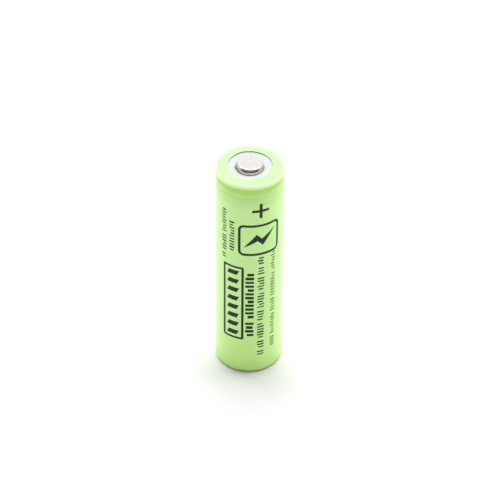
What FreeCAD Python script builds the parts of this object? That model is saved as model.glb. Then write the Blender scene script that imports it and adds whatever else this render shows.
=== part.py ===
import FreeCAD, Part

import math
import os

# A button-top cylindrical cell of the 14 x 50 mm size, standing on its base.
# Millimetres. +Z runs up the cell's axis to the positive button. The origin is the middle of the base.

# ---- Whole cell ----
cell_height = 50.9
sleeve_diameter = 14.0
button_projection = 0.85    # button above the sleeve's upper lip

# ---- Shrink sleeve ----
sleeve_wall = 0.10
sleeve_corner = 0.9         # inside radius where the sleeve folds over the positive end
top_lip = 2.45              # width of the fold over the positive end, from the outside
base_lip = 1.75             # width of the fold over the base
sleeve_dip = 0.22           # how far the sleeve sinks into the can's bead
dip_bend = 0.9

# ---- Can ----
can_wall = 0.25
base_corner = 0.8           # outside radius, which the sleeve follows
shoulder_corner = 0.92      # outside radius at the crimped top
crimp_lip = 1.8             # width of the crimped rim, from the outside
bead_depth = 1.1
bead_opening = 1.2          # height of the bead where it leaves the wall
bead_throat = 0.7           # height of the bead at its deepest
bead_bend = 0.45            # at the lower edge
throat_bend = 0.3
bead_shoulder_bend = 0.5    # at the upper edge
contact_margin = 0.15       # from the bare contact area to the sleeve's lower lip

# ---- Positive end ----
washer_thickness = 0.25
washer_clearance = 0.15     # round the button
washer_sag = 0.25           # how far the washer's hole sits below its rim
washer_sag_inset = 0.3      # from the gasket's opening to where the washer starts to sag
washer_sag_bend = 1.0
cap_sheet = 0.3
button_top_radius = 2.45    # outside, where the flat top meets the sloping shoulder
button_base_radius = 2.75   # outside of the button's wall
button_shoulder_depth = 0.72
button_edge = 0.35          # outside radius of the flat top's edge
button_wall_bend = 0.4
button_foot_bend = 0.4
button_foot_depth = 0.75    # from the sleeve's upper lip down to the foot
cap_flange = 2.03           # width of the cap's flat rim, which the gasket grips
cap_skirt_bend = 0.4
cap_vents = 4
cap_vent_radius = 0.36
gasket_wall = 0.35
gasket_proud = 0.15         # gasket past the crimped rim
gasket_seat = 1.45          # width of the gasket's lower leg
ptc_thickness = 0.3
ptc_width = 1.8
vent_sheet = 0.3
vent_flange = 1.4
vent_dish_depth = 0.45
vent_dish_run = 0.5         # width of the dish's sloping wall
vent_dish_bend = 0.35
score_inset = 1.2           # from the dish's corner to the score
score_width = 0.3
score_depth = 0.16
nipple_radius = 0.8
disc_insulator_thickness = 0.3
disc_insulator_hole = 2.2
contact_sheet = 0.3
contact_clearance = 0.75    # from the insulator's rim to the can's bead
contact_skirt_wall = 0.3    # insulator's rim round the contact disc
contact_ports = 6
contact_port_radius = 0.45
contact_port_inset = 1.2    # from the disc's edge to the ports' centres
contact_hub_radius = 1.3
contact_hub_thinning = 0.15

# ---- Wound electrodes ----
core_radius = 1.25          # hole left by the winding mandrel
roll_clearance = 0.1        # between the roll's tape and the can
foil = 0.04
coating = 0.10
separator = 0.04
layer_gap = 0.01            # between faces that lie on each other without a bond
anode_lead = 2.0            # radians of bare separator before the anode starts
cathode_lead = 3.6          # radians before the cathode starts
cathode_cover = 0.3         # radians, past one full turn, of separator after the cathode's end
anode_tail = 1.8            # radians the anode runs past the cathode
negative_tab_setback = 0.6  # radians from the anode's end to its tab
tape_turn = 1.9 * math.pi
anode_inset = 0.8           # separators stand this far past the anode at each end
cathode_inset = 1.3

# ---- Tabs, tapes and insulators ----
tab_thickness = 0.06
tab_width = 2.0
tab_weld_depth = 22.0       # how far each tab runs down or up its foil
tab_window_margin = 0.5     # bare foil left round a tab
tab_fold_reach = 2.2        # folded leg past the axis
tab_rise = 0.45             # from the upper insulator to the tab's first fold
tab_end_inset = 2.0         # end of the upper leg short of the tab's own radius
roll_tape = 0.05
roll_tape_margin = 5.0      # from the roll's ends
upper_insulator = 0.3
lower_insulator = 0.2
insulator_clearance = 0.1
insulator_hole_radius = 1.5
slot_margin = 0.3

# ---- Levels and radii that follow ----
sleeve_radius = sleeve_diameter / 2
can_radius = sleeve_radius - sleeve_wall
bore_radius = can_radius - can_wall
top_hole_radius = sleeve_radius - top_lip
base_hole_radius = sleeve_radius - base_lip
crimp_hole_radius = can_radius - crimp_lip
gasket_top_hole = crimp_hole_radius - gasket_proud
gasket_base_hole = bore_radius - gasket_seat
lip_top = cell_height - button_projection
can_base = sleeve_wall
floor = can_base + can_wall
can_top = lip_top - sleeve_wall - washer_thickness
stack_top = can_top - can_wall - gasket_wall
cap_bottom = stack_top - cap_sheet
ptc_bottom = cap_bottom - ptc_thickness
vent_bottom = ptc_bottom - vent_sheet
bead_seat = vent_bottom - gasket_wall
stack_radius = bore_radius - gasket_wall
vent_dish_radius = stack_radius - vent_flange - vent_dish_run
score_radius = vent_dish_radius - score_inset
vent_web_bottom = vent_bottom - vent_dish_depth
contact_top = vent_web_bottom - disc_insulator_thickness
contact_bottom = contact_top - contact_sheet

wall_middle = can_radius - can_wall / 2
throat_middle = wall_middle - bead_depth
contact_skirt_radius = throat_middle - can_wall / 2 - contact_clearance
contact_disc_radius = contact_skirt_radius - contact_skirt_wall
bead_arm = bead_seat - can_wall / 2
bead_foot = bead_arm - bead_opening
throat_foot = bead_arm - bead_throat
foot_turn = math.atan2(bead_depth, throat_foot - bead_foot)
bead_start = bead_foot - bead_bend * math.tan(foot_turn / 2)

floor_radius = can_radius - base_corner
lower_insulator_top = floor + tab_thickness + lower_insulator
upper_insulator_bottom = bead_start - insulator_clearance - upper_insulator
roll_bottom = lower_insulator_top
roll_top = upper_insulator_bottom

# Layers of one turn, as offsets from the spiral's base line, from the inside out.
inner_separator_at = 0
anode_inner_at = inner_separator_at + separator + layer_gap
anode_foil_at = anode_inner_at + coating
anode_outer_at = anode_foil_at + foil
outer_separator_at = anode_outer_at + coating + layer_gap
cathode_inner_at = outer_separator_at + separator + layer_gap
cathode_foil_at = cathode_inner_at + coating
cathode_outer_at = cathode_foil_at + foil
pitch = cathode_outer_at + coating + layer_gap

roll_radius = bore_radius - roll_clearance - roll_tape
roll_end = 2 * math.pi * (roll_radius - core_radius - outer_separator_at - separator) / pitch
cathode_end = roll_end - 2 * math.pi - cathode_cover
anode_end = cathode_end + anode_tail
negative_tab_angle = anode_end - negative_tab_setback
positive_tab_angle = (cathode_lead + cathode_end) / 2

AXIS = FreeCAD.Vector(0, 0, 1)
ORIGIN = FreeCAD.Vector(0, 0, 0)


def save(shape, node):
    shape.exportStep(f"parts/{node}.step")


def straight(start, finish):
    """The edge between two points, or nothing where they are the same point."""
    if start.distanceToPoint(finish) < 1e-6:
        return []
    return [Part.LineSegment(start, finish).toShape()]


def bent_profile(path, bends, sheet):
    """Face in the XZ plane: a sheet of constant thickness along a bent middle line.

    path holds the (x, z) corners of the middle line, bends the radius at each corner between them.
    """
    points = [FreeCAD.Vector(x, 0, z) for x, z in path]
    runs = [(after - before).normalize() for before, after in zip(points, points[1:])]
    normals = [FreeCAD.Vector(-run.z, 0, run.x) for run in runs]
    edges = []
    ends = []
    for side in (sheet / 2, -sheet / 2):
        cursor = points[0] + normals[0] * side
        ends.append(cursor)
        for index, radius in enumerate(bends):
            corner = points[index + 1]
            turn = runs[index].getAngle(runs[index + 1])
            hand = math.copysign(1, normals[index].dot(runs[index + 1]))
            setback = radius * math.tan(turn / 2)
            entry = corner - runs[index] * setback
            centre = entry + normals[index] * (hand * radius)
            start = entry + normals[index] * side
            finish = corner + runs[index + 1] * setback + normals[index + 1] * side
            middle = centre + (corner - centre).normalize() * (radius - hand * side)
            edges += straight(cursor, start)
            edges.append(Part.Arc(start, middle, finish).toShape())
            cursor = finish
        last = points[-1] + normals[-1] * side
        edges += straight(cursor, last)
        ends.append(last)
    edges += straight(ends[0], ends[2])
    edges += straight(ends[1], ends[3])
    return Part.Face(Part.Wire(Part.__sortEdges__(edges)))


def turned(face):
    return face.revolve(ORIGIN, AXIS, 360)


def ring(inner, outer, bottom, top):
    body = Part.makeCylinder(outer, top - bottom, FreeCAD.Vector(0, 0, bottom))
    if inner:
        body = body.cut(Part.makeCylinder(inner, top - bottom, FreeCAD.Vector(0, 0, bottom)))
    return body


def drilled(body, count, radius, circle, bottom, top, first=0.0):
    for index in range(count):
        angle = first + 2 * math.pi * index / count
        place = FreeCAD.Vector(circle * math.cos(angle), circle * math.sin(angle), bottom)
        body = body.cut(Part.makeCylinder(radius, top - bottom, place))
    return body


def arc_about(angle, offset):
    """Centre and radius of the half-turn arc that the winding follows at the given angle.

    Each half turn is an arc. Its centre changes sides of the axis with every half turn, by a quarter
    of the pitch, so that the arcs join smoothly and every layer's faces are concentric.
    """
    count = math.floor(angle / math.pi + 1e-9)
    centre = -pitch / 4 if count % 2 == 0 else pitch / 4
    return centre, core_radius + pitch / 4 + offset + count * pitch / 2


def spiral_point(angle, offset, level, arc_angle):
    centre, radius = arc_about(arc_angle, offset)
    return FreeCAD.Vector(centre + radius * math.cos(angle), radius * math.sin(angle), level)


def spiral_edges(offset, start, end, level):
    first = math.floor(start / math.pi + 1e-9) + 1
    last = math.ceil(end / math.pi - 1e-9) - 1
    joins = [start] + [count * math.pi for count in range(first, last + 1)] + [end]
    edges = []
    for begin, finish in zip(joins, joins[1:]):
        middle = (begin + finish) / 2
        points = [spiral_point(angle, offset, level, middle) for angle in (begin, middle, finish)]
        edges.append(Part.Arc(*points).toShape())
    return edges


def wound(offset, thickness, start, end, bottom, top):
    """A strip wound on edge round the axis, between two spirals."""
    inner = spiral_edges(offset, start, end, bottom)
    outer = spiral_edges(offset + thickness, start, end, bottom)
    joins = []
    for edge_in, edge_out, vertex in ((inner[0], outer[0], 0), (inner[-1], outer[-1], -1)):
        joins += straight(edge_in.Vertexes[vertex].Point, edge_out.Vertexes[vertex].Point)
    wire = Part.Wire(Part.__sortEdges__(inner + outer + joins))
    return Part.Face(wire).extrude(FreeCAD.Vector(0, 0, top - bottom))


def shrink_sleeve():
    middle = sleeve_radius - sleeve_wall / 2
    path = [
        (base_hole_radius, sleeve_wall / 2),
        (middle, sleeve_wall / 2),
        (middle, bead_foot),
        (middle - sleeve_dip, (bead_foot + bead_arm) / 2),
        (middle, bead_arm),
        (middle, lip_top - sleeve_wall / 2),
        (top_hole_radius, lip_top - sleeve_wall / 2),
    ]
    base_bend = base_corner + sleeve_wall / 2
    top_bend = sleeve_corner + sleeve_wall / 2
    bends = [base_bend, dip_bend, dip_bend, dip_bend, top_bend]
    return turned(bent_profile(path, bends, sleeve_wall))


def can():
    path = [
        (0, can_base + can_wall / 2),
        (wall_middle, can_base + can_wall / 2),
        (wall_middle, bead_foot),
        (throat_middle, throat_foot),
        (throat_middle, bead_arm),
        (wall_middle, bead_arm),
        (wall_middle, can_top - can_wall / 2),
        (crimp_hole_radius, can_top - can_wall / 2),
    ]
    bends = [
        base_corner - can_wall / 2,
        bead_bend,
        throat_bend,
        throat_bend,
        bead_shoulder_bend,
        shoulder_corner - can_wall / 2,
    ]
    shell = turned(bent_profile(path, bends, can_wall))
    # The bare contact area is a face of its own, inside the sleeve's lower lip.
    contact_radius = base_hole_radius - contact_margin
    contact = Part.Face(Part.Wire(Part.makeCircle(contact_radius, FreeCAD.Vector(0, 0, can_base), AXIS)))
    pieces, _ = shell.generalFuse([contact])
    return pieces.Solids[0]


def terminal_washer():
    hole = button_base_radius + washer_clearance
    middle = can_top + washer_thickness / 2
    path = [
        (hole, middle - washer_sag),
        (gasket_top_hole - washer_sag_inset, middle),
        (can_radius - sleeve_corner, middle),
    ]
    return turned(bent_profile(path, [washer_sag_bend], washer_thickness))


def positive_cap():
    # Each corner of the middle line lies half the sheet inside the outer corner, along both runs.
    half = cap_sheet / 2
    fall = math.atan2(button_shoulder_depth, button_base_radius - button_top_radius)
    top = cell_height - half
    wall_top = cell_height - button_shoulder_depth - half * math.tan((math.pi / 2 - fall) / 2)
    foot = lip_top - button_foot_depth
    foot_radius = button_base_radius - half
    skirt_radius = stack_radius - cap_flange
    path = [
        (0, top),
        (button_top_radius - half * math.tan(fall / 2), top),
        (foot_radius, wall_top),
        (foot_radius, foot),
        (skirt_radius, stack_top - half),
        (stack_radius, stack_top - half),
    ]
    bends = [button_edge - half, button_wall_bend, button_foot_bend, cap_skirt_bend]
    cap = turned(bent_profile(path, bends, cap_sheet))
    circle = (foot_radius + skirt_radius) / 2
    first = math.pi / cap_vents
    return drilled(cap, cap_vents, cap_vent_radius, circle, cap_bottom, can_top, first)


def ptc_ring():
    return ring(stack_radius - ptc_width, stack_radius, ptc_bottom, cap_bottom)


def vent_disc():
    web = vent_web_bottom + vent_sheet / 2
    path = [
        (0, web),
        (vent_dish_radius, web),
        (vent_dish_radius + vent_dish_run, vent_bottom + vent_sheet / 2),
        (stack_radius, vent_bottom + vent_sheet / 2),
    ]
    disc = turned(bent_profile(path, [vent_dish_bend, vent_dish_bend], vent_sheet))
    web_top = vent_web_bottom + vent_sheet
    score_inner = score_radius - score_width / 2
    disc = disc.cut(ring(score_inner, score_inner + score_width, web_top - score_depth, web_top))
    return disc.fuse(ring(0, nipple_radius, contact_top, web)).removeSplitter()


def disc_insulator():
    # Under the dish's corner the insulator stays inside the flat of the web.
    seat_outer = vent_dish_radius - vent_dish_bend
    seat = ring(disc_insulator_hole, seat_outer, contact_top, vent_web_bottom)
    flange_top = contact_top + disc_insulator_thickness / 2
    flange = ring(disc_insulator_hole, contact_skirt_radius, contact_top, flange_top)
    skirt = ring(contact_disc_radius, contact_skirt_radius, contact_bottom, flange_top)
    return seat.fuse([flange, skirt]).removeSplitter()


def contact_disc():
    disc = ring(0, contact_disc_radius, contact_bottom, contact_top)
    circle = contact_disc_radius - contact_port_inset
    disc = drilled(disc, contact_ports, contact_port_radius, circle, contact_bottom, contact_top)
    hub_level = contact_top - contact_hub_thinning
    moat = ring(nipple_radius, contact_hub_radius, hub_level, contact_top)
    return disc.cut(moat)


def gasket_corner(centre_x, centre_z, radius, up):
    """Quarter arc against the can's wall, drawn from the lower end to the upper end."""
    side = FreeCAD.Vector(centre_x + radius, 0, centre_z)
    end = FreeCAD.Vector(centre_x, 0, centre_z + up * radius)
    diagonal = radius * math.sqrt(0.5)
    middle = FreeCAD.Vector(centre_x + diagonal, 0, centre_z + up * diagonal)
    lower, upper = (side, end) if up > 0 else (end, side)
    return lower, middle, upper


def crimp_gasket():
    rim_underside = can_top - can_wall
    base_round = bead_shoulder_bend - can_wall / 2
    top_round = shoulder_corner - can_wall
    base = gasket_corner(bore_radius - base_round, bead_seat + base_round, base_round, -1)
    top = gasket_corner(bore_radius - top_round, rim_underside - top_round, top_round, 1)
    base_leg = FreeCAD.Vector(gasket_base_hole, 0, bead_seat)
    base_step = FreeCAD.Vector(gasket_base_hole, 0, vent_bottom)
    base_pocket = FreeCAD.Vector(stack_radius, 0, vent_bottom)
    top_pocket = FreeCAD.Vector(stack_radius, 0, stack_top)
    top_step = FreeCAD.Vector(gasket_top_hole, 0, stack_top)
    top_leg = FreeCAD.Vector(gasket_top_hole, 0, rim_underside)
    edges = straight(base_leg, base[0]) + [Part.Arc(*base).toShape()]
    edges += straight(base[2], top[0]) + [Part.Arc(*top).toShape()]
    corners = [top[2], top_leg, top_step, top_pocket, base_pocket, base_step, base_leg]
    for start, finish in zip(corners, corners[1:]):
        edges += straight(start, finish)
    return turned(Part.Face(Part.Wire(edges)))


def across_foil(angle, offset, width, first, depth, bottom, top):
    """A patch of the given width on a foil whose outer face is at offset, from first to first + depth."""
    half = width / 2 / arc_about(angle, offset)[1]
    return wound(offset + first, depth, angle - half, angle + half, bottom, top)


def weld_window(angle, offset, bottom, top):
    """The space that is left free of coating round a tab's weld."""
    width = tab_width + 2 * tab_window_margin
    return across_foil(angle, offset, width, -layer_gap, coating + 2 * layer_gap, bottom, top)


def weld_leg(angle, offset, bottom, top):
    return across_foil(angle, offset, tab_width, 0, tab_thickness, bottom, top)


def weld_tape(angle, offset, bottom, top):
    width = tab_width + 2 * tab_window_margin
    return across_foil(angle, offset, width, tab_thickness, coating - tab_thickness, bottom, top)


def tab_place(angle, offset):
    """Direction of a tab from the axis, and the radii of its inner corners and outer middle."""
    point = spiral_point(angle, offset, 0, angle)
    inner = point.Length
    return point.normalize(), math.sqrt(inner * inner - tab_width * tab_width / 4), inner + tab_thickness


def flat_leg(path, bends, direction):
    """The flat end of a tab, bent along path in the upright plane through the axis and direction."""
    strip = bent_profile(path, bends, tab_thickness)
    strip.translate(FreeCAD.Vector(0, -tab_width / 2, 0))
    leg = strip.extrude(FreeCAD.Vector(0, tab_width, 0))
    leg.rotate(ORIGIN, AXIS, math.degrees(math.atan2(direction.y, direction.x)))
    return leg


def positive_tab():
    direction, _, outer = tab_place(positive_tab_angle, cathode_outer_at)
    first_fold = upper_insulator_bottom + upper_insulator + tab_rise
    last_leg = contact_bottom - tab_thickness / 2
    hairpin = (last_leg - first_fold) / 2
    path = [
        (outer, first_fold),
        (-tab_fold_reach, first_fold),
        (-tab_fold_reach, last_leg),
        (outer - tab_end_inset, last_leg),
    ]
    folded = flat_leg(path, [hairpin, hairpin], direction)
    weld_bottom = roll_top - tab_weld_depth
    rising = weld_leg(positive_tab_angle, cathode_outer_at, weld_bottom, first_fold)
    return rising.fuse(folded).removeSplitter()


def negative_tab():
    direction, _, outer = tab_place(negative_tab_angle, anode_outer_at)
    level = floor + tab_thickness / 2
    lying = flat_leg([(outer, level), (-tab_fold_reach, level)], [], direction)
    weld_top = roll_bottom + tab_weld_depth
    hanging = weld_leg(negative_tab_angle, anode_outer_at, level, weld_top)
    return hanging.fuse(lying).removeSplitter()


def slot(near, far, direction, bottom, top):
    """Opening from radius near to radius far, wide enough for a tab, in the given direction."""
    width = tab_width + 2 * slot_margin
    opening = Part.makeBox(far - near, width, top - bottom, FreeCAD.Vector(near, -width / 2, bottom))
    opening.rotate(ORIGIN, AXIS, math.degrees(math.atan2(direction.y, direction.x)))
    return opening


def upper_insulator_disc():
    bottom = upper_insulator_bottom
    top = bottom + upper_insulator
    direction, inner, outer = tab_place(positive_tab_angle, cathode_outer_at)
    disc = ring(insulator_hole_radius, bore_radius - insulator_clearance, bottom, top)
    return disc.cut(slot(inner - slot_margin, outer + slot_margin, direction, bottom, top))


def lower_insulator_disc():
    bottom = floor + tab_thickness
    top = lower_insulator_top
    direction, inner, _ = tab_place(negative_tab_angle, anode_outer_at)
    disc = ring(insulator_hole_radius, floor_radius, bottom, top)
    return disc.cut(slot(inner - slot_margin, bore_radius, direction, bottom, top))


def wound_layers():
    anode_bottom = roll_bottom + anode_inset
    cathode_top = roll_top - cathode_inset
    whole = (0, roll_end, roll_bottom, roll_top)
    anode = (anode_lead, anode_end, anode_bottom, roll_top - anode_inset)
    cathode = (cathode_lead, cathode_end, roll_bottom + cathode_inset, cathode_top)
    save(wound(inner_separator_at, separator, *whole), "separator_inner")
    save(wound(outer_separator_at, separator, *whole), "separator_outer")
    save(wound(anode_foil_at, foil, *anode), "anode_foil")
    save(wound(anode_inner_at, coating, *anode), "anode_coating_inner")
    save(wound(cathode_foil_at, foil, *cathode), "cathode_foil")
    save(wound(cathode_inner_at, coating, *cathode), "cathode_coating_inner")

    window_top = roll_bottom + tab_weld_depth + tab_window_margin
    window = weld_window(negative_tab_angle, anode_outer_at, roll_bottom, window_top)
    save(wound(anode_outer_at, coating, *anode).cut(window), "anode_coating_outer")
    tape = weld_tape(negative_tab_angle, anode_outer_at, anode_bottom, window_top)
    save(tape, "negative_tab_tape")

    window_bottom = roll_top - tab_weld_depth - tab_window_margin
    window = weld_window(positive_tab_angle, cathode_outer_at, window_bottom, roll_top)
    save(wound(cathode_outer_at, coating, *cathode).cut(window), "cathode_coating_outer")
    tape = weld_tape(positive_tab_angle, cathode_outer_at, window_bottom, cathode_top)
    save(tape, "positive_tab_tape")

    tape_at = outer_separator_at + separator
    tape_bottom = roll_bottom + roll_tape_margin
    tape_top = roll_top - roll_tape_margin
    tape = wound(tape_at, roll_tape, roll_end - tape_turn, roll_end, tape_bottom, tape_top)
    save(tape, "roll_end_tape")


def main():
    os.makedirs("parts", exist_ok=True)
    save(shrink_sleeve(), "shrink_sleeve")
    save(terminal_washer(), "terminal_washer")
    save(positive_cap(), "positive_cap")
    save(ptc_ring(), "ptc_ring")
    save(vent_disc(), "vent_disc")
    save(disc_insulator(), "disc_insulator")
    save(contact_disc(), "contact_disc")
    save(crimp_gasket(), "crimp_gasket")
    save(can(), "can")
    save(upper_insulator_disc(), "upper_insulator")
    save(positive_tab(), "positive_tab")
    wound_layers()
    save(negative_tab(), "negative_tab")
    save(lower_insulator_disc(), "lower_insulator")


main()
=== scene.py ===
import math
import random

import bmesh
import bpy
from mathutils import Matrix, Vector, noise


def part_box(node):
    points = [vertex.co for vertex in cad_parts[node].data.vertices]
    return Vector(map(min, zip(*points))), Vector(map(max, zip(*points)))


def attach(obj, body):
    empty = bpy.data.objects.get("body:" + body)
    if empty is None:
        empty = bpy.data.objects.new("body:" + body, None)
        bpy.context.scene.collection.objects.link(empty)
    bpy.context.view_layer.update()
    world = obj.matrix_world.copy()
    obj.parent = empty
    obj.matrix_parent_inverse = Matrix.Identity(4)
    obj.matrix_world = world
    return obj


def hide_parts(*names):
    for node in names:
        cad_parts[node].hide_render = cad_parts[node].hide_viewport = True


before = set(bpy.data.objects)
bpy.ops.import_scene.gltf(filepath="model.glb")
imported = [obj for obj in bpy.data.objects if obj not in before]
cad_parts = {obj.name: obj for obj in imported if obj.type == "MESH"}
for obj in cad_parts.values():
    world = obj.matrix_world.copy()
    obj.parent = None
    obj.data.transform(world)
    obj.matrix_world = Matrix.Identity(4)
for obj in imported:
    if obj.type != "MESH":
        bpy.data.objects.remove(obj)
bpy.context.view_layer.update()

# A button-top cylindrical cell. Lengths are in metres, in the frame's own axes: +Z runs up the cell and
# the print faces -Y. The layout of the print is in millimetres.

MM = 0.001
random.seed(14500)

ON_AXIS = 1e-7               # a profile point this near the axis is on it
WAVE_RISE = 0.1              # how fast the soft noise changes up the cell, per millimetre
WAVE_SEED_STEP = 17.3        # keeps the noises of different seeds apart

# ---- What the frame says ----
sleeve_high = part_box("shrink_sleeve")[1]
washer_low, washer_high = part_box("terminal_washer")
cap_low, cap_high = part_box("positive_cap")
SLEEVE_R = sleeve_high.x
LIP_TOP = sleeve_high.z
WASHER_R = washer_high.x
BUTTON_TOP = cap_high.z
CAP_FLANGE_R = cap_high.x
CAP_FLANGE_Z = cap_low.z

# ---- Sleeve ----
FILM = 0.10 * MM
BASE_BEND = 0.90 * MM        # outside radius of the lower fold
TOP_BEND = 0.80 * MM         # outside radius of the upper fold
TOP_HOLE_R = 4.55 * MM
BASE_HOLE_R = 5.25 * MM
BASE_LIP_WIDTH = 0.6 * MM    # inner part of the lower lip that is uneven
BASE_LIP_STEP = 0.3 * MM     # first stretch of the lower lip, from its edge
BASE_LIP_WAVE = 0.10 * MM
DIP_DEPTH = 0.10 * MM        # where the film sinks over the can's bead
DIP_BELOW_LIP = 2.925 * MM
DIP_HALF = 0.96 * MM
DIP_WAVE = 0.05 * MM
DIP_WAVE_REACH = 1.1 * MM
LIP_CURL = 0.20 * MM         # how far the shrunk film's edge lifts off the washer
LIP_CURL_WIDTH = 1.5 * MM
LIP_WAVE = 0.05 * MM
LIP_RIPPLE = 0.02 * MM
LIP_ZONE = 0.3 * MM          # height at each end within which a point belongs to the lip
WALL_STEPS = 24
BASE_FOLD_STEPS = 10
TOP_FOLD_STEPS = 14
LIP_STEPS = 5
SLEEVE_SEGMENTS = 256

# ---- Washer ----
WASHER_GAP = 0.15 * MM       # round the button's wall
WASHER_DISH = 0.25 * MM      # how far the fibre sags towards the button
WASHER_DISH_WIDTH = 1.8 * MM
WASHER_DISH_POWER = 1.3
WASHER_EASE = 0.03 * MM      # bevel of its edges
WASHER_STEPS = 8
WASHER_EDGE_WIDTH = 0.8 * MM     # inner part that follows the hole's unevenness
WASHER_SHIFT = 0.10 * MM     # the hole sits this far off the axis
WASHER_WAVE = 0.02 * MM
NICK_ANGLE = math.radians(278)
NICK_DEPTH = 0.12 * MM
NICK_HALF_ANGLE = 0.12       # radians
WASHER_SEGMENTS = 192

# ---- Button cap ----
CAP_SHEET = 0.3 * MM
BUTTON_TOP_R = 2.45 * MM     # where the flat top meets the sloping shoulder
BUTTON_WALL_R = 2.75 * MM
BUTTON_SHOULDER = 0.72 * MM
BUTTON_FLAT_INSET = 0.25 * MM    # the flat ends this far inside the top's corner
BUTTON_CROWN = 0.012 * MM
FOOT_BELOW_LIP = 0.60 * MM
SKIRT_R = 4.30 * MM
CAP_BENDS = (0.35 * MM, 0.50 * MM, 0.25 * MM, 0.50 * MM)     # from the top's edge to the rim
BUTTON_FACE_STEPS = 8
CAP_SEGMENTS = 160

# ---- Print, in millimetres: s runs round the cell from the front line, z up from the base ----
INK_OUT = 0.010 * MM         # top of the ink, outside the film's face
INK_IN = 0.004 * MM          # underside of the ink, inside the film's face
BAR_COLUMN = 0.3             # a bar is cut across into pieces of about this width
BAR_LEVEL = 0.1              # and a slanting bar along its slant into pieces of this
OUTLINE_STEP = 0.3           # between points on an outline's long sides
OUTLINE_CORNER_STEPS = 7
OUTLINE_LANES = 4            # strips across an outline's line
PLUS_CENTRE = (2.33, 43.74)
PLUS_ARM = 3.65
PLUS_LINE = 0.62
EMBLEM_FRAME = (-2.1, 6.45, 32.5, 39.95)     # left, right, low, high
EMBLEM_CORNER = 1.0
EMBLEM_LINE = 0.56
BOLT_UPPER = ((-1.3, 34.3), (1.5, 37.7), (2.6, 36.5), (5.6, 38.7))
BOLT_LOWER = ((-1.3, 34.3), (1.7, 36.0), (2.8, 34.8), (5.6, 38.7))
BOLT_STEPS = 8               # along each stretch and across
LEVEL_FRAME = (-5.6, -1.35, 9.55, 28.75)     # left, right, low, high
LEVEL_CORNER = 0.12
LEVEL_LINE = 0.50
LEVEL_BARS = 8
LEVEL_BAR_S = -3.5
LEVEL_BAR_WIDTH = 2.3
LEVEL_BAR_HEIGHT = 1.15
LEVEL_BAR_SLANT = 0.5
LEVEL_LOWEST = 11.0
LEVEL_HIGHEST = 27.3
TICK_REACHES = (1.0, 1.0, 0.8, 0.72)     # shares of the line's width that a tick may have
TICK_SHIFTS = (-0.5, 0.0, 0.5)           # a shorter tick's place: to one side, centred, to the other
TICK_THICKNESSES = (0.8, 1.2)            # least and most, as shares of its line's thickness
GROUP_GAP = 0.8                          # extra space between groups, as a share of the spacing
# Each line of ticks: its name, s, top, bottom, width, tick thickness, spacing and ticks in each group.
DARK_LINES = (
    ("print_line_bold", 0.12, 27.1, 10.1, 1.75, 0.66, 1.04, (12,)),
    ("print_line_medium", 2.5, 31.4, 5.0, 1.45, 0.36, 0.72, (3, 3, 5, 6, 4, 6)),
    ("print_line_small", -3.75, 40.3, 32.6, 1.15, 0.36, 0.72, (11,)),
)
PALE_LINES = (
    ("print_line_edge", -5.7, 42.8, 29.8, 1.2, 0.36, 0.70, (9, 6, 5)),
    ("print_line_fine", 5.3, 31.8, 6.2, 1.1, 0.28, 0.72, (7, 9, 5, 8)),
)

# ---- Materials ----
NOISE_RANGE = (0.3, 0.7)     # most of a noise lies between these
FINE_BUMP = 0.01 * MM
COARSE_BUMP = 0.02 * MM
MIX_FACTOR, MIX_FIRST, MIX_SECOND, MIX_RESULT = 0, 6, 7, 2   # sockets of a colour mix

# ---- Floor and light ----
FLOOR_HALF = 1.5
FLOOR_CELLS = 8
# The floor's painted shadow: a darker round patch in front of the cell.
PAINTED_SHADOW_CENTRE = (-0.5, -18.5, 0.0)    # middle of the floor's darker patch, in millimetres
PAINTED_SHADOW_REACH = 24.0           # its radius, in millimetres
PAINTED_SHADOW_TONE = (0.72, 0.72, 0.725, 1.0)
LIGHT_PLACE = (0.06, 0.26, 0.97)
LIGHT_TARGET = (0, 0, 0.03)
LIGHT_SIZE = (1.4, 0.40)
LIGHT_POWER = 9.0
WORLD_STRENGTH = 1.3
# Brightness of the surroundings, from the camera's side (0) to the far side (1).
WORLD_LEVELS = ((0.0, 0.50), (0.20, 0.38), (0.40, 0.34), (0.52, 0.85), (0.64, 1.0), (1.0, 1.0))
# The camera's side darkens towards the horizon, between these Y and between these Z of the direction.
DIM_SIDE = (-0.1, -0.5)
DIM_HEIGHT = (0.30, 0.16)
DIM_TONE = (0.06, 0.06, 0.055, 1)

# ---- Camera: the angle, distance and lens that the object is seen with ----
CAMERA_ELEVATION = 40.3
CAMERA_DISTANCE = 0.532
CAMERA_ROLL = 0.51
CAMERA_LENS = 185.3
AIM = Vector((0.00007, 0.0, 0.02545))
CAMERA_SHIFT = (0.0007, 0.0184)
CAMERA_SENSOR = 36           # in millimetres, like the lens
CAMERA_CLIP = (0.01, 20)


# ======================================================================
# Mesh helpers
# ======================================================================

def mesh_object(name, bm, smooth=True):
    mesh = bpy.data.meshes.new(name)
    bmesh.ops.recalc_face_normals(bm, faces=bm.faces)
    bm.to_mesh(mesh)
    bm.free()
    for face in mesh.polygons:
        face.use_smooth = smooth
    obj = bpy.data.objects.new(name, mesh)
    bpy.context.scene.collection.objects.link(obj)
    return obj


def arc(centre, radius, start, end, steps):
    """Points of an arc in the (r, z) plane, angles in degrees."""
    points = []
    for step in range(steps + 1):
        angle = math.radians(start + (end - start) * step / steps)
        points.append((centre[0] + radius * math.cos(angle), centre[1] + radius * math.sin(angle)))
    return points


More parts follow.
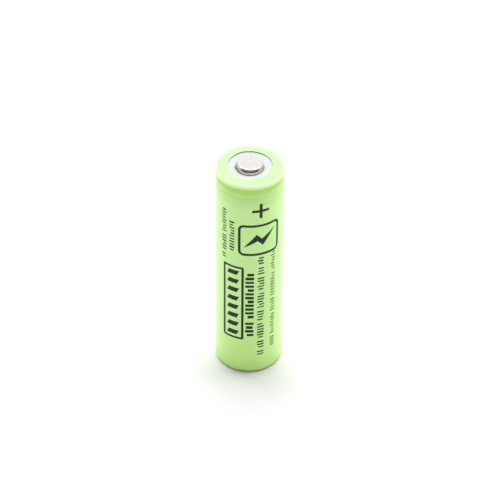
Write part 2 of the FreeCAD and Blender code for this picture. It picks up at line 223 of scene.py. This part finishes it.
def rounded(corners, radii, steps=8):
    """An open (r, z) outline from the first corner to the last, with an arc at each one between."""
    outline = [corners[0]]
    for before, corner, after, radius in zip(corners, corners[1:], corners[2:], radii):
        corner = Vector(corner)
        back, on = (Vector(before) - corner).normalized(), (Vector(after) - corner).normalized()
        half = back.angle(on) / 2
        centre = corner + (back + on).normalized() * (radius / math.sin(half))
        start = corner + back * (radius / math.tan(half)) - centre
        turn = math.copysign(math.pi - 2 * half, back.x * on.y - back.y * on.x)
        for step in range(steps + 1):
            angle = -turn * step / steps
            x = start.x * math.cos(angle) - start.y * math.sin(angle)
            y = start.x * math.sin(angle) + start.y * math.cos(angle)
            outline.append((centre.x + x, centre.y + y))
    return outline + [corners[-1]]


def inward(profile, thickness):
    """The other side of a sheet: profile moved by thickness to the left of its direction."""
    inner = []
    for index, (r, z) in enumerate(profile):
        before = profile[max(index - 1, 0)]
        after = profile[min(index + 1, len(profile) - 1)]
        dr, dz = after[0] - before[0], after[1] - before[1]
        length = math.hypot(dr, dz)
        inner.append((max(r - dz / length * thickness, 0.0), z + dr / length * thickness))
    return inner


def revolve(name, profile, segments, shape=None):
    """Turns a closed (r, z) profile about Z. shape(angle, r, z) may move a point and returns (r, z)."""
    bm = bmesh.new()
    rings = []
    for r, z in profile:
        if r < ON_AXIS:
            rings.append([bm.verts.new((0, 0, z))] * segments)
            continue
        ring = []
        for step in range(segments):
            angle = 2 * math.pi * step / segments
            rr, zz = shape(angle, r, z) if shape else (r, z)
            ring.append(bm.verts.new((rr * math.sin(angle), -rr * math.cos(angle), zz)))
        rings.append(ring)
    for lower, upper in zip(rings, rings[1:] + rings[:1]):
        for step in range(segments):
            after = (step + 1) % segments
            corners = [lower[step], lower[after], upper[after], upper[step]]
            unique = [v for n, v in enumerate(corners) if v not in corners[:n]]
            if len(unique) > 2:
                bm.faces.new(unique)
    return mesh_object(name, bm)


def soft_wave(angle, z, count, seed):
    """Smooth noise round the axis, from -1 to 1, that closes on itself."""
    along = z / MM * WAVE_RISE + seed * WAVE_SEED_STEP
    return noise.noise(Vector((math.cos(angle) * count, math.sin(angle) * count, along))) * 2


# ======================================================================
# Material helpers
# ======================================================================

class Nodes:
    """Builds one material's node tree."""

    def __init__(self, name):
        self.material = bpy.data.materials.new(name)
        self.material.use_nodes = True
        self.tree = self.material.node_tree
        self.shader = self.tree.nodes["Principled BSDF"]

    def add(self, kind, **settings):
        node = self.tree.nodes.new(kind)
        for key, value in settings.items():
            if key in node.inputs:
                node.inputs[key].default_value = value
            else:
                setattr(node, key, value)
        return node

    def link(self, source, target):
        self.tree.links.new(source, target)

    def set(self, **values):
        for key, value in values.items():
            self.shader.inputs[key.replace("_", " ")].default_value = value
        return self

    def place(self):
        """Position on the piece, in millimetres."""
        coords = self.add("ShaderNodeTexCoord")
        scale = self.add("ShaderNodeMapping")
        scale.inputs["Scale"].default_value = (1 / MM, 1 / MM, 1 / MM)
        self.link(coords.outputs["Object"], scale.inputs["Vector"])
        return scale.outputs["Vector"]

    def stretched(self, vector, scale):
        mapping = self.add("ShaderNodeMapping")
        mapping.inputs["Scale"].default_value = scale
        self.link(vector, mapping.inputs["Vector"])
        return mapping.outputs["Vector"]

    def noise(self, vector, scale, detail=4.0, roughness=0.5):
        node = self.add("ShaderNodeTexNoise", Scale=scale, Detail=detail, Roughness=roughness)
        self.link(vector, node.inputs["Vector"])
        return node.outputs["Fac"]

    def ramp(self, factor, stops):
        node = self.add("ShaderNodeValToRGB")
        elements = node.color_ramp.elements
        while len(elements) < len(stops):
            elements.new(0.5)
        for element, (position, colour) in zip(elements, stops):
            element.position = position
            element.color = colour if len(colour) == 4 else (*colour, 1.0)
        self.link(factor, node.inputs["Fac"])
        return node.outputs["Color"]

    def span(self, value, to_low, to_high, within=NOISE_RANGE):
        """Maps a value that lies within a range to the range from to_low to to_high."""
        node = self.add("ShaderNodeMapRange")
        keys = ("From Min", "From Max", "To Min", "To Max")
        for key, number in zip(keys, (*within, to_low, to_high)):
            node.inputs[key].default_value = number
        self.link(value, node.inputs["Value"])
        return node.outputs["Result"]

    def mix(self, factor, first, second):
        node = self.add("ShaderNodeMix", data_type="RGBA")
        for index, value in ((MIX_FACTOR, factor), (MIX_FIRST, first), (MIX_SECOND, second)):
            if isinstance(value, bpy.types.NodeSocket):
                self.link(value, node.inputs[index])
            else:
                node.inputs[index].default_value = value
        return node.outputs[MIX_RESULT]

    def height(self, vector):
        node = self.add("ShaderNodeSeparateXYZ")
        self.link(vector, node.inputs[0])
        return node.outputs["Z"]

    def colour(self, socket):
        self.link(socket, self.shader.inputs["Base Color"])
        return self

    def roughness(self, socket):
        self.link(socket, self.shader.inputs["Roughness"])
        return self

    def bump(self, socket, strength, distance):
        node = self.add("ShaderNodeBump", Strength=strength, Distance=distance)
        self.link(socket, node.inputs["Height"])
        self.link(node.outputs["Normal"], self.shader.inputs["Normal"])
        return self


def srgb(red, green, blue):
    """Linear colour of 8-bit sRGB values."""
    linear = []
    for value in (red, green, blue):
        c = value / 255
        linear.append(c / 12.92 if c <= 0.04045 else ((c + 0.055) / 1.055) ** 2.4)
    return (*linear, 1.0)


def paint(obj, material):
    obj.data.materials.clear()
    obj.data.materials.append(material)


# ======================================================================
# Materials
# ======================================================================

def sleeve_film_material():
    """Lime PVC film with painted shade just below the upper fold and a painted highlight on the fold's
    rounding, with a fine satin skin.
    """
    n = Nodes("sleeve_film")
    n.set(IOR=1.45, Coat_Weight=0.20, Coat_Roughness=0.18)
    place = n.place()
    z = n.height(place)
    lip = LIP_TOP / MM
    body = srgb(199, 246, 148)
    # The colour up the film holds painted light and shade. There is painted contact shade at the base
    # fold and a little painted light low down. Painted shade runs from the bead dip up under the upper
    # fold, and there is a painted highlight on the upper fold's rounding. The flat lip on top is darker
    # again.
    tone_with_painted_light = n.ramp(n.span(z, 0.0, 1.0, (0.0, lip)), [
        (0.002, srgb(124, 156, 84)),
        (0.012, srgb(195, 243, 124)),
        (0.08, srgb(206, 253, 142)),
        (0.20, srgb(203, 250, 148)),
        (0.30, body),
        (0.88, body),
        (0.90, srgb(190, 240, 136)),
        (0.93, srgb(188, 240, 136)),
        (0.962, srgb(166, 222, 84)),
        (0.9810, srgb(162, 220, 62)),
        (0.9870, srgb(230, 255, 164)),
        (0.9945, srgb(234, 255, 200)),
        (0.9995, srgb(176, 228, 154)),
    ])
    cloud = n.noise(place, scale=0.35, detail=3.0)
    veil = n.span(cloud, 0.0, 0.22)
    tone_with_painted_light = n.mix(veil, tone_with_painted_light, srgb(212, 240, 180))
    fine = n.noise(place, scale=5.0, detail=6.0, roughness=0.6)
    n.colour(tone_with_painted_light)
    n.roughness(n.span(fine, 0.28, 0.38))
    grain = n.noise(n.stretched(place, (1.0, 1.0, 0.25)), scale=3.0, detail=5.0)
    n.bump(grain, strength=0.25, distance=COARSE_BUMP)
    return n.material


def ink_material(name, dark, worn):
    n = Nodes(name)
    n.set(IOR=1.4, Specular_IOR_Level=0.25)
    place = n.place()
    n.colour(n.ramp(n.noise(place, scale=2.2, detail=6.0, roughness=0.7), [(0.35, dark), (0.72, worn)]))
    n.roughness(n.span(n.noise(place, scale=8.0, detail=4.0), 0.35, 0.5))
    return n.material


def washer_material():
    """Pressed white fibre: flecks, faint mottling and a matt skin."""
    n = Nodes("white_fibre")
    n.set(IOR=1.45)
    place = n.place()
    fibre = n.noise(n.stretched(place, (1.0, 3.5, 1.0)), scale=6.0, detail=6.0, roughness=0.65)
    n.colour(n.ramp(fibre, [(0.3, srgb(192, 193, 195)), (0.7, srgb(206, 206, 208))]))
    n.roughness(n.span(fibre, 0.6, 0.8))
    n.bump(fibre, strength=0.35, distance=COARSE_BUMP)
    return n.material


def nickel_material(name, tone, rough_low, rough_high, brushed=(1.0, 1.0, 1.0)):
    """Plated steel: warm grey, mottled, with hairline handling scratches."""
    n = Nodes(name)
    n.set(Metallic=1.0)
    place = n.place()
    mottle = n.noise(place, scale=1.3, detail=5.0, roughness=0.6)
    dark = tuple(c * 0.88 for c in tone[:3]) + (1.0,)
    n.colour(n.ramp(mottle, [(0.3, dark), (0.7, tone)]))
    scratches = n.noise(n.stretched(place, brushed), scale=7.0, detail=8.0, roughness=0.7)
    n.roughness(n.span(scratches, rough_low, rough_high, (0.25, 0.75)))
    n.bump(scratches, strength=0.15, distance=FINE_BUMP)
    return n.material


def plastic_material(name, low, high, rough, bump_scale=6.0):
    n = Nodes(name)
    place = n.place()
    n.colour(n.ramp(n.noise(place, scale=0.9, detail=4.0), [(0.3, low), (0.7, high)]))
    n.roughness(n.span(n.noise(place, scale=4.0, detail=4.0), rough, rough + 0.12))
    n.bump(n.noise(place, scale=bump_scale, detail=5.0), strength=0.2, distance=FINE_BUMP)
    return n.material


def foil_material(name, tone, rough):
    """Rolled foil or strip, with grain along its length."""
    n = Nodes(name)
    n.set(Metallic=1.0)
    place = n.place()
    grain = n.noise(n.stretched(place, (6.0, 6.0, 0.4)), scale=3.0, detail=6.0, roughness=0.6)
    dark = tuple(c * 0.85 for c in tone[:3]) + (1.0,)
    n.colour(n.ramp(grain, [(0.3, dark), (0.7, tone)]))
    n.roughness(n.span(grain, rough, rough + 0.15))
    n.bump(grain, strength=0.2, distance=FINE_BUMP)
    return n.material


def powder_material(name, dark, light):
    """Coated electrode: fine matt grains in a binder."""
    n = Nodes(name)
    place = n.place()
    grains = n.noise(place, scale=30.0, detail=3.0, roughness=0.8)
    n.colour(n.ramp(grains, [(0.35, dark), (0.75, light)]))
    n.roughness(n.span(grains, 0.75, 0.95))
    n.bump(grains, strength=0.5, distance=COARSE_BUMP)
    return n.material


# ======================================================================
# Pieces that replace plain CAD solids
# ======================================================================

def make_sleeve():
    """The shrink film: a thin closed shell with slightly uneven lips and a dip over the can's bead."""
    outer = [(BASE_HOLE_R, 0.0), (BASE_HOLE_R + BASE_LIP_STEP, 0.0)]
    outer += arc((SLEEVE_R - BASE_BEND, BASE_BEND), BASE_BEND, -90, 0, BASE_FOLD_STEPS)
    dip = LIP_TOP - DIP_BELOW_LIP
    wall = dip - DIP_HALF - BASE_BEND
    for step in range(1, WALL_STEPS):
        outer.append((SLEEVE_R, BASE_BEND + wall * step / WALL_STEPS))
    for step in range(WALL_STEPS + 1):
        t = step / WALL_STEPS * 2 - 1
        sink = DIP_DEPTH * 0.5 * (1 + math.cos(math.pi * t))
        outer.append((SLEEVE_R - sink, dip + t * DIP_HALF))
    outer += arc((SLEEVE_R - TOP_BEND, LIP_TOP - TOP_BEND), TOP_BEND, 0, 90, TOP_FOLD_STEPS)
    lip = SLEEVE_R - TOP_BEND - TOP_HOLE_R
    for step in range(1, LIP_STEPS + 1):
        outer.append((SLEEVE_R - TOP_BEND - lip * step / LIP_STEPS, LIP_TOP))
    profile = outer + inward(outer, FILM)[::-1]

    def shape(angle, r, z):
        top_lip = base_lip = 0.0
        if z > LIP_TOP - LIP_ZONE:
            top_lip = max(0.0, 1 - (r - TOP_HOLE_R) / LIP_CURL_WIDTH)
        if z < LIP_ZONE:
            base_lip = max(0.0, 1 - (r - BASE_HOLE_R) / BASE_LIP_WIDTH)
        near_dip = math.exp(-((z - dip) / DIP_WAVE_REACH) ** 2)
        r += top_lip * LIP_WAVE * soft_wave(angle, 0, count=1.6, seed=1)
        r += top_lip * LIP_RIPPLE * soft_wave(angle, 0, count=6.0, seed=2)
        r += base_lip * BASE_LIP_WAVE * soft_wave(angle, 0, count=2.0, seed=3)
        z += top_lip ** 2 * LIP_CURL * (0.8 + 0.2 * soft_wave(angle, 0, count=1.3, seed=4))
        r -= near_dip * DIP_WAVE * (0.5 + 0.5 * soft_wave(angle, z, count=1.5, seed=5))
        return r, z

    return revolve("sleeve", profile, SLEEVE_SEGMENTS, shape)


def make_washer():
    """The insulating washer, with eased edges, a sag round its hole and a small nick in it."""
    hole = BUTTON_WALL_R + WASHER_GAP
    ease = WASHER_EASE
    low, high = washer_low.z, washer_high.z
    inner, outer = hole + ease, WASHER_R - ease
    profile = [(hole, low + ease), (inner, low), (outer, low), (WASHER_R, low + ease)]
    profile += [(WASHER_R, high - ease), (outer, high)]
    for step in range(1, WASHER_STEPS):
        profile.append((outer + (inner - outer) * step / WASHER_STEPS, high))
    profile += [(inner, high), (hole, high - ease)]

    def shape(angle, r, z):
        near = max(0.0, 1 - (r - hole) / WASHER_EDGE_WIDTH)
        z -= WASHER_DISH * max(0.0, 1 - (r - hole) / WASHER_DISH_WIDTH) ** WASHER_DISH_POWER
        turn = (angle - NICK_ANGLE + math.pi) % (2 * math.pi) - math.pi
        nick = NICK_DEPTH * math.exp(-(turn / NICK_HALF_ANGLE) ** 2)
        r += near * (nick - WASHER_SHIFT * math.sin(angle))
        r += near * WASHER_WAVE * soft_wave(angle, 0, count=3.0, seed=7)
        return r, z

    return revolve("washer", profile, WASHER_SEGMENTS, shape)


def make_button():
    """The positive cap: button, foot, sloping skirt and flange pressed from one sheet."""
    flange_top = CAP_FLANGE_Z + CAP_SHEET
    flat = BUTTON_TOP_R - BUTTON_FLAT_INSET
    outer = []
    for step in range(BUTTON_FACE_STEPS):
        t = step / BUTTON_FACE_STEPS
        outer.append((flat * t, BUTTON_TOP - BUTTON_CROWN * t ** 2))
    corners = [
        (flat, BUTTON_TOP - BUTTON_CROWN),
        (BUTTON_TOP_R, BUTTON_TOP - BUTTON_CROWN),
        (BUTTON_WALL_R, BUTTON_TOP - BUTTON_SHOULDER),
        (BUTTON_WALL_R, LIP_TOP - FOOT_BELOW_LIP),
        (SKIRT_R, flange_top),
        (CAP_FLANGE_R, flange_top),
    ]
    outer += rounded(corners, CAP_BENDS)
    inner = inward(outer, -CAP_SHEET)[::-1]
    inner[0] = (CAP_FLANGE_R, CAP_FLANGE_Z)
    inner[-1] = (0.0, BUTTON_TOP - CAP_SHEET)
    return revolve("button_cap", outer + inner, CAP_SEGMENTS)


# ======================================================================
# Print
# ======================================================================

def on_sleeve(s, z, lift):
    """A point of the print at arc length s from the front line and height z, both in millimetres."""
    angle = s * MM / SLEEVE_R
    radius = SLEEVE_R + lift
    return (radius * math.sin(angle), -radius * math.cos(angle), z * MM)


def between(first, second, t):
    return (first[0] + (second[0] - first[0]) * t, first[1] + (second[1] - first[1]) * t)


def ink_patch(bm, rows):
    """A closed thin slab over a grid of (s, z) points."""
    top = [[bm.verts.new(on_sleeve(s, z, INK_OUT)) for s, z in row] for row in rows]
    under = [[bm.verts.new(on_sleeve(s, z, -INK_IN)) for s, z in row] for row in rows]
    last_row, last = len(rows) - 1, len(rows[0]) - 1
    for i in range(last_row):
        for j in range(last):
            bm.faces.new((top[i][j], top[i][j + 1], top[i + 1][j + 1], top[i + 1][j]))
            bm.faces.new((under[i][j], under[i + 1][j], under[i + 1][j + 1], under[i][j + 1]))
    for i in range(last_row):
        bm.faces.new((top[i][0], top[i + 1][0], under[i + 1][0], under[i][0]))
        bm.faces.new((top[i][last], under[i][last], under[i + 1][last], top[i + 1][last]))
    for j in range(last):
        bm.faces.new((top[0][j], under[0][j], under[0][j + 1], top[0][j + 1]))
        bm.faces.new((top[last_row][j], top[last_row][j + 1], under[last_row][j + 1], under[last_row][j]))


def block(bm, centre, width, height, slant=0.0):
    """A filled bar whose top edge lies slant further along s than its bottom edge."""
    columns = max(int(width / BAR_COLUMN), 1) + 1
    levels = max(int(slant / BAR_LEVEL), 1)
    rows = []
    for step in range(levels + 1):
        level = step / levels - 0.5
        row = []
        for column in range(columns + 1):
            across = column / columns - 0.5
            row.append((centre[0] + across * width + level * slant, centre[1] + level * height))
        rows.append(row)
    ink_patch(bm, rows)


def outline_stroke(bm, points, width):
    """A closed line of ink round points."""
    count = len(points)
    rings = [[] for _ in range(OUTLINE_LANES + 1)]
    for index, (s, z) in enumerate(points):
        before, after = points[index - 1], points[(index + 1) % count]
        ds, dz = after[0] - before[0], after[1] - before[1]
        length = math.hypot(ds, dz)
        for lane, ring in enumerate(rings):
            off = (lane / OUTLINE_LANES - 0.5) * width
            ring.append((s - dz / length * off, z + ds / length * off))
    top = [[bm.verts.new(on_sleeve(*point, INK_OUT)) for point in ring] for ring in rings]
    under = [[bm.verts.new(on_sleeve(*point, -INK_IN)) for point in ring] for ring in rings]
    for index in range(count):
        nxt = (index + 1) % count
        for sheet in (top, under):
            for first, second in zip(sheet, sheet[1:]):
                bm.faces.new((first[index], second[index], second[nxt], first[nxt]))
        for edge in (0, OUTLINE_LANES):
            bm.faces.new((top[edge][index], under[edge][index], under[edge][nxt], top[edge][nxt]))


def rounded_outline(left, right, low, high, radius):
    """Points round a rectangle with rounded corners, with its long sides cut into short pieces."""
    outline = []
    corners = (
        (left, low, 1, 1, 180),
        (right, low, -1, 1, 270),
        (right, high, -1, -1, 0),
        (left, high, 1, -1, 90),
    )
    for s, z, in_s, in_z, start in corners:
        centre = (s + in_s * radius, z + in_z * radius)
        outline += arc(centre, radius, start, start + 90, OUTLINE_CORNER_STEPS)
    dense = []
    for first, second in zip(outline, outline[1:] + outline[:1]):
        length = math.hypot(second[0] - first[0], second[1] - first[1])
        pieces = max(int(length / OUTLINE_STEP), 1)
        dense += [between(first, second, piece / pieces) for piece in range(pieces)]
    return dense


def make_plus():
    bm = bmesh.new()
    s, z = PLUS_CENTRE
    block(bm, PLUS_CENTRE, PLUS_ARM, PLUS_LINE)
    half = (PLUS_ARM - PLUS_LINE) / 2
    for side in (-1, 1):
        block(bm, (s, z + side * (PLUS_LINE + half) / 2), PLUS_LINE, half)
    return mesh_object("print_plus", bm, smooth=False)


def make_emblem_frame():
    bm = bmesh.new()
    outline_stroke(bm, rounded_outline(*EMBLEM_FRAME, EMBLEM_CORNER), EMBLEM_LINE)
    return mesh_object("print_emblem_frame", bm, smooth=False)


def make_bolt():
    """A plain lightning bolt, lying along the circumference."""
    upper, lower = [], []
    for line, outline in ((upper, BOLT_UPPER), (lower, BOLT_LOWER)):
        for first, second in zip(outline, outline[1:]):
            line += [between(first, second, step / BOLT_STEPS) for step in range(BOLT_STEPS)]
        line.append(outline[-1])
    rows = []
    for step in range(BOLT_STEPS + 1):
        rows.append([between(above, below, step / BOLT_STEPS) for above, below in zip(upper, lower)])
    bm = bmesh.new()
    ink_patch(bm, rows)
    return mesh_object("print_bolt", bm, smooth=False)


def make_level_frame():
    bm = bmesh.new()
    outline_stroke(bm, rounded_outline(*LEVEL_FRAME, LEVEL_CORNER), LEVEL_LINE)
    return mesh_object("print_level_frame", bm, smooth=False)


def make_level_bars():
    """Charge-level bars inside their frame."""
    bm = bmesh.new()
    pitch = (LEVEL_HIGHEST - LEVEL_LOWEST) / (LEVEL_BARS - 1)
    for index in range(LEVEL_BARS):
        centre = (LEVEL_BAR_S, LEVEL_LOWEST + pitch * index)
        block(bm, centre, LEVEL_BAR_WIDTH, LEVEL_BAR_HEIGHT, LEVEL_BAR_SLANT)
    return mesh_object("print_level_bars", bm, smooth=False)


def tick_line(name, s, top, bottom, width, thickness, spacing, words):
    """A line of fine ticks in groups, running down the cell."""
    bm = bmesh.new()
    z = top
    group = 0
    while z > bottom:
        for _ in range(words[group % len(words)]):
            if z < bottom:
                break
            reach = width * random.choice(TICK_REACHES)
            shift = (width - reach) * random.choice(TICK_SHIFTS)
            block(bm, (s + shift, z), reach, thickness * random.uniform(*TICK_THICKNESSES))
            z -= spacing
        z -= spacing * GROUP_GAP
        group += 1
    return mesh_object(name, bm, smooth=False)


# ======================================================================
# Build
# ======================================================================

def place_piece(obj, material, slot, *nodes):
    paint(obj, material)
    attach(obj, "root")
    if nodes:
        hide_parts(*nodes)
    return obj


sleeve_film = sleeve_film_material()
ink = ink_material("print_ink", srgb(24, 38, 20), srgb(40, 62, 34))
pale_ink = ink_material("print_ink_pale", srgb(48, 72, 38), srgb(76, 106, 58))
nickel_bright = nickel_material("nickel_button", (0.71, 0.69, 0.65, 1.0), 0.14, 0.24)

place_piece(make_sleeve(), sleeve_film, "sleeve_film", "shrink_sleeve")
place_piece(make_washer(), washer_material(), "white_fibre", "terminal_washer")
place_piece(make_button(), nickel_bright, "nickel_plate", "positive_cap")

for piece in (make_plus(), make_emblem_frame(), make_bolt(), make_level_frame(), make_level_bars()):
    place_piece(piece, ink, "sleeve_film")
for ink_used, lines in ((ink, DARK_LINES), (pale_ink, PALE_LINES)):
    for line in lines:
        place_piece(tick_line(*line), ink_used, "sleeve_film")

INSULATOR = ((0.78, 0.76, 0.70), (0.90, 0.88, 0.82), 0.5)
SEPARATOR = ((0.88, 0.88, 0.87), (0.95, 0.95, 0.94), 0.35)
AMBER_TAPE = ((0.60, 0.32, 0.06), (0.76, 0.45, 0.12), 0.25)
CATHODE_POWDER = ((0.02, 0.02, 0.022), (0.07, 0.07, 0.075))
GRAPHITE = ((0.04, 0.04, 0.042), (0.12, 0.12, 0.125))
SHOWN_CAD = {
    "can": nickel_material("nickel_can", (0.74, 0.73, 0.70, 1.0), 0.22, 0.38, (4.0, 4.0, 0.5)),
    "crimp_gasket": plastic_material("gasket_plastic", (0.10, 0.10, 0.11), (0.16, 0.16, 0.17), 0.45),
    "ptc_ring": plastic_material("ptc_composite", (0.14, 0.13, 0.12), (0.24, 0.23, 0.22), 0.7, 20.0),
    "vent_disc": foil_material("vent_aluminium", (0.82, 0.83, 0.84, 1.0), 0.3),
    "contact_disc": foil_material("contact_aluminium", (0.80, 0.81, 0.82, 1.0), 0.3),
    "positive_tab": foil_material("tab_aluminium", (0.84, 0.85, 0.86, 1.0), 0.25),
    "cathode_foil": foil_material("cathode_aluminium", (0.86, 0.87, 0.88, 1.0), 0.2),
    "anode_foil": foil_material("anode_copper", (0.85, 0.48, 0.34, 1.0), 0.25),
    "negative_tab": foil_material("tab_nickel", (0.70, 0.68, 0.64, 1.0), 0.3),
    "disc_insulator": plastic_material("disc_plastic", (0.80, 0.79, 0.74), (0.90, 0.89, 0.84), 0.4),
    "upper_insulator": plastic_material("upper_plastic", *INSULATOR),
    "lower_insulator": plastic_material("lower_plastic", *INSULATOR),
    "separator_inner": plastic_material("separator_film_inner", *SEPARATOR),
    "separator_outer": plastic_material("separator_film_outer", *SEPARATOR),
    "positive_tab_tape": plastic_material("tape_positive", *AMBER_TAPE),
    "negative_tab_tape": plastic_material("tape_negative", *AMBER_TAPE),
    "roll_end_tape": plastic_material("roll_tape", (0.14, 0.45, 0.28), (0.22, 0.58, 0.38), 0.2),
    "cathode_coating_inner": powder_material("cathode_powder_inner", *CATHODE_POWDER),
    "cathode_coating_outer": powder_material("cathode_powder_outer", *CATHODE_POWDER),
    "anode_coating_inner": powder_material("anode_graphite_inner", *GRAPHITE),
    "anode_coating_outer": powder_material("anode_graphite_outer", *GRAPHITE),
}
for node, material in SHOWN_CAD.items():
    paint(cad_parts[node], material)


# ======================================================================
# Floor, light and camera
# ======================================================================

def make_floor():
    """A plain white floor, a little darker in a soft round patch in front of the cell: a painted shadow.
    """
    bm = bmesh.new()
    bmesh.ops.create_grid(bm, x_segments=FLOOR_CELLS, y_segments=FLOOR_CELLS, size=FLOOR_HALF)
    floor = mesh_object("floor", bm, smooth=False)
    n = Nodes("floor_white")
    place = n.place()
    n.set(Specular_IOR_Level=0.2)
    # Painted shadow: the floor's colour darkens towards the shade tone in a round patch in front of the
    # cell.
    reach = n.add("ShaderNodeVectorMath", operation="DISTANCE")
    n.link(place, reach.inputs[0])
    reach.inputs[1].default_value = PAINTED_SHADOW_CENTRE
    clear = n.add("ShaderNodeMapRange", interpolation_type="SMOOTHSTEP")
    clear.inputs["From Max"].default_value = PAINTED_SHADOW_REACH
    n.link(reach.outputs["Value"], clear.inputs["Value"])
    white = n.ramp(n.noise(place, scale=0.01, detail=2.0), [
        (0.3, (0.87, 0.87, 0.87)),
        (0.7, (0.89, 0.89, 0.89)),
    ])
    n.colour(n.mix(clear.outputs["Result"], PAINTED_SHADOW_TONE, white))
    n.roughness(n.span(n.noise(place, scale=0.5, detail=2.0), 0.5, 0.6))
    paint(floor, n.material)


def make_light():
    """One wide soft light overhead, a little behind the cell."""
    data = bpy.data.lights.new("overhead", "AREA")
    data.shape = "RECTANGLE"
    data.size, data.size_y = LIGHT_SIZE
    data.energy = LIGHT_POWER
    light = bpy.data.objects.new("overhead", data)
    light.location = LIGHT_PLACE
    aim = Vector(LIGHT_TARGET) - Vector(LIGHT_PLACE)
    light.rotation_euler = aim.to_track_quat("-Z", "Y").to_euler()
    bpy.context.scene.collection.objects.link(light)


def make_world():
    """White surroundings on the far side and a dim room on the camera's side, darkest at the horizon."""
    world = bpy.data.worlds.new("studio")
    world.use_nodes = True
    tree = world.node_tree
    nodes, links = tree.nodes, tree.links

    def share(socket, start, end):
        """How far a value has come from start to end, between 0 and 1."""
        node = nodes.new("ShaderNodeMapRange")
        node.inputs["From Min"].default_value = start
        node.inputs["From Max"].default_value = end
        links.new(socket, node.inputs["Value"])
        return node.outputs["Result"]

    coords = nodes.new("ShaderNodeTexCoord")
    split = nodes.new("ShaderNodeSeparateXYZ")
    links.new(coords.outputs["Generated"], split.inputs[0])
    ramp = nodes.new("ShaderNodeValToRGB")
    while len(ramp.color_ramp.elements) < len(WORLD_LEVELS):
        ramp.color_ramp.elements.new(0.5)
    for element, (position, level) in zip(ramp.color_ramp.elements, WORLD_LEVELS):
        element.position = position
        element.color = (level, level, level, 1)
    links.new(share(split.outputs["Y"], -1, 1), ramp.inputs["Fac"])
    dim = nodes.new("ShaderNodeMath")
    dim.operation = "MULTIPLY"
    links.new(share(split.outputs["Y"], *DIM_SIDE), dim.inputs[0])
    links.new(share(split.outputs["Z"], *DIM_HEIGHT), dim.inputs[1])
    room = nodes.new("ShaderNodeMix")
    room.data_type = "RGBA"
    room.inputs[MIX_SECOND].default_value = DIM_TONE
    links.new(dim.outputs[0], room.inputs[MIX_FACTOR])
    links.new(ramp.outputs["Color"], room.inputs[MIX_FIRST])
    background = nodes["Background"]
    links.new(room.outputs[MIX_RESULT], background.inputs["Color"])
    background.inputs["Strength"].default_value = WORLD_STRENGTH
    bpy.context.scene.world = world


def make_camera():
    data = bpy.data.cameras.new("camera")
    data.lens = CAMERA_LENS
    data.sensor_width = CAMERA_SENSOR
    data.clip_start, data.clip_end = CAMERA_CLIP
    data.shift_x, data.shift_y = CAMERA_SHIFT
    camera = bpy.data.objects.new("camera", data)
    elevation = math.radians(CAMERA_ELEVATION)
    back = Vector((0, -math.cos(elevation), math.sin(elevation)))
    camera.location = AIM + back * CAMERA_DISTANCE
    roll = Matrix.Rotation(math.radians(CAMERA_ROLL), 3, "Z")
    turn = (-back).to_track_quat("-Z", "Y").to_matrix() @ roll
    camera.rotation_euler = turn.to_euler()
    bpy.context.scene.collection.objects.link(camera)
    bpy.context.scene.camera = camera


make_floor()
make_world()
make_camera()
make_light()
bpy.context.scene.view_settings.view_transform = "Standard"
